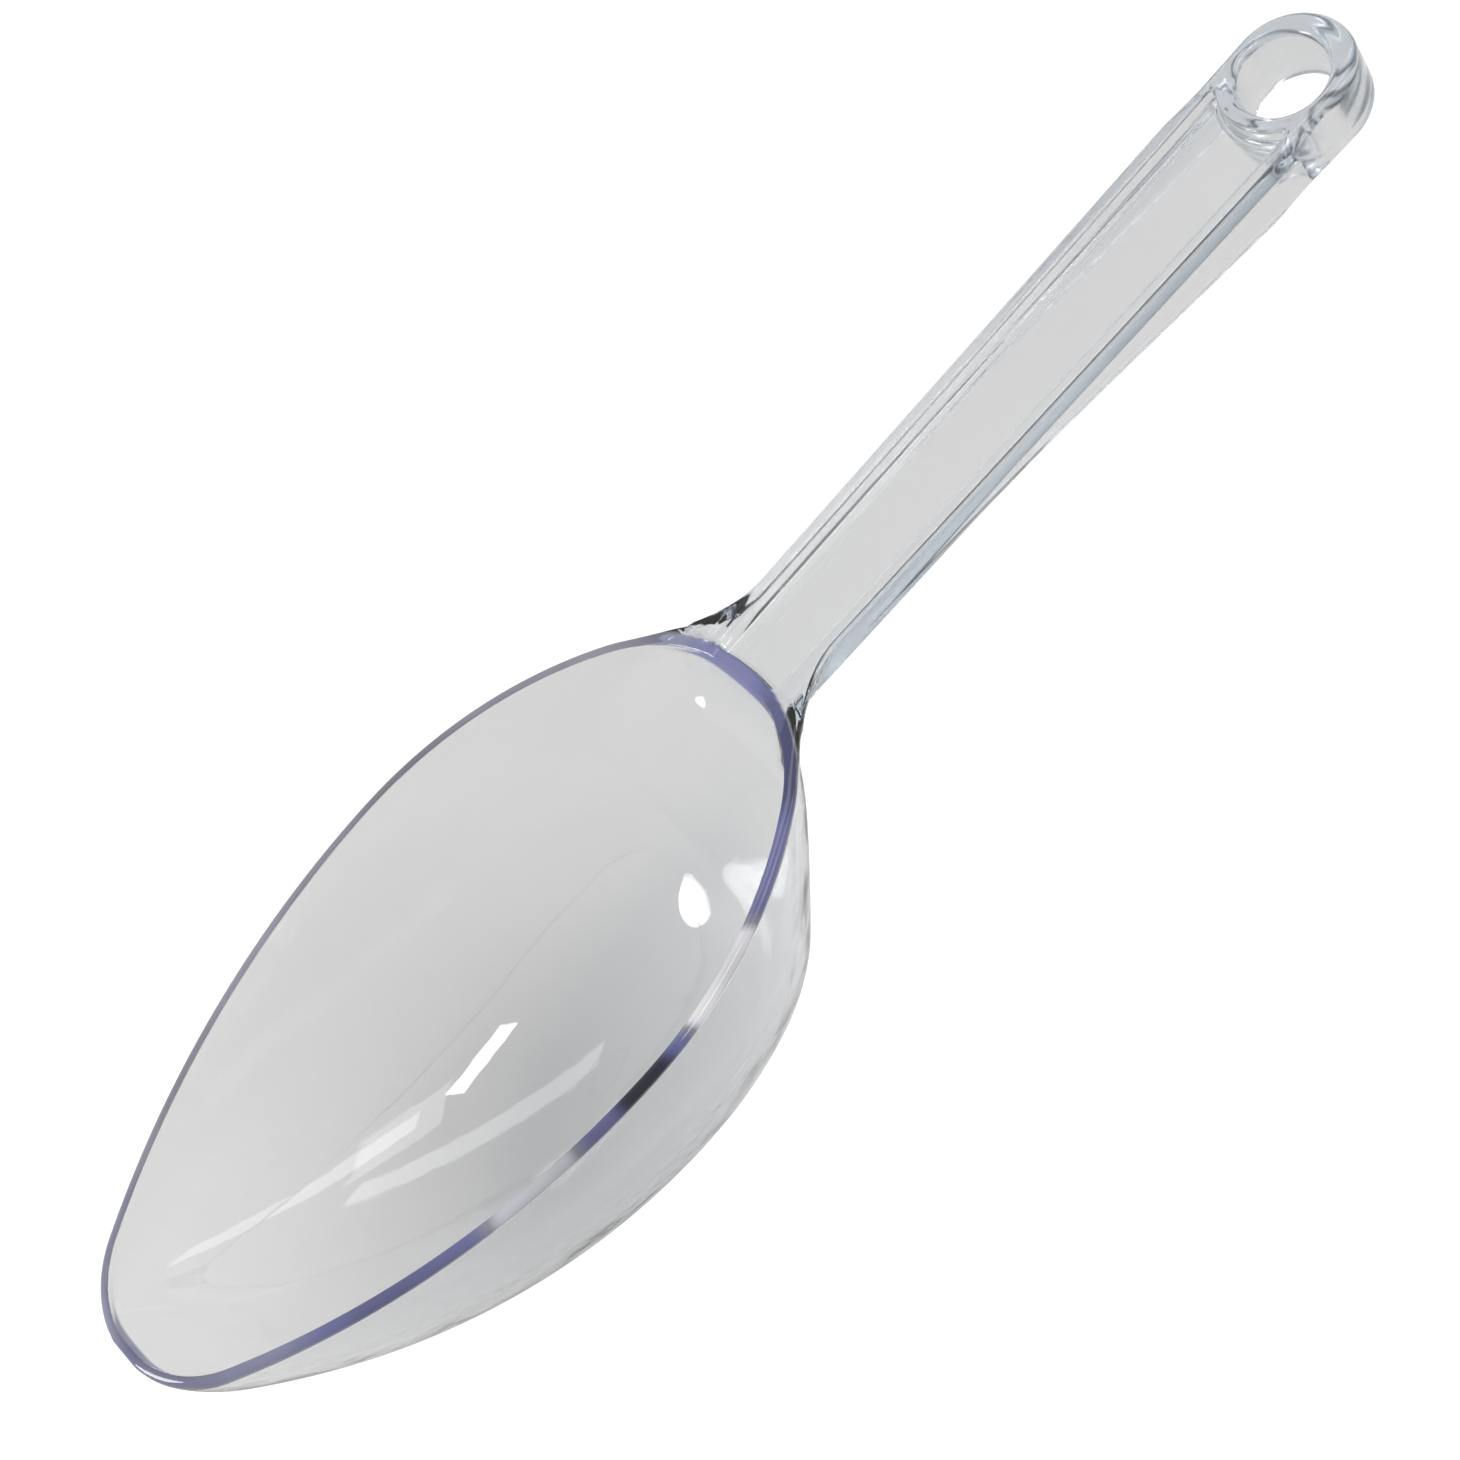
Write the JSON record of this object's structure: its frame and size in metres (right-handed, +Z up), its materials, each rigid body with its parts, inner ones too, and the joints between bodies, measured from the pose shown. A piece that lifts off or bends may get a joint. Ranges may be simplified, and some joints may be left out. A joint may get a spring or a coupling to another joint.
{
  "type": "ice scoop",
  "caption": "Clear plastic hand scoop with a deep boat-shaped bowl, a channel-section handle and a hanging eye, for ice and dry bar goods.",
  "frame": {"origin": "middle of the bottom of the bounding box, at the level of the lowest point of the bowl", "axes": "+X from the scooping lip towards the hanging eye, +Z up out of the bowl with the rim plane level, +Y towards the right hand of a person who holds the handle and looks at the lip"},
  "size_m": [0.225, 0.0618, 0.042],
  "materials": {
    "clear_plastic": "clear high gloss, water-clear with a faint violet-blue edge tint"
  },
  "bodies": {
    "root": {"scooping_lip": "clear_plastic", "rim_left": "clear_plastic", "rim_right": "clear_plastic", "rear_rim": "clear_plastic", "bowl_nose": "clear_plastic", "bowl_side_left": "clear_plastic", "bowl_side_right": "clear_plastic", "bowl_floor": "clear_plastic", "bowl_back": "clear_plastic", "neck_left": "clear_plastic", "neck_right": "clear_plastic", "neck_underside": "clear_plastic", "handle_wall_left": "clear_plastic", "handle_wall_right": "clear_plastic", "handle_web": "clear_plastic", "hanging_eye": "clear_plastic"}
  },
  "joints": []
}
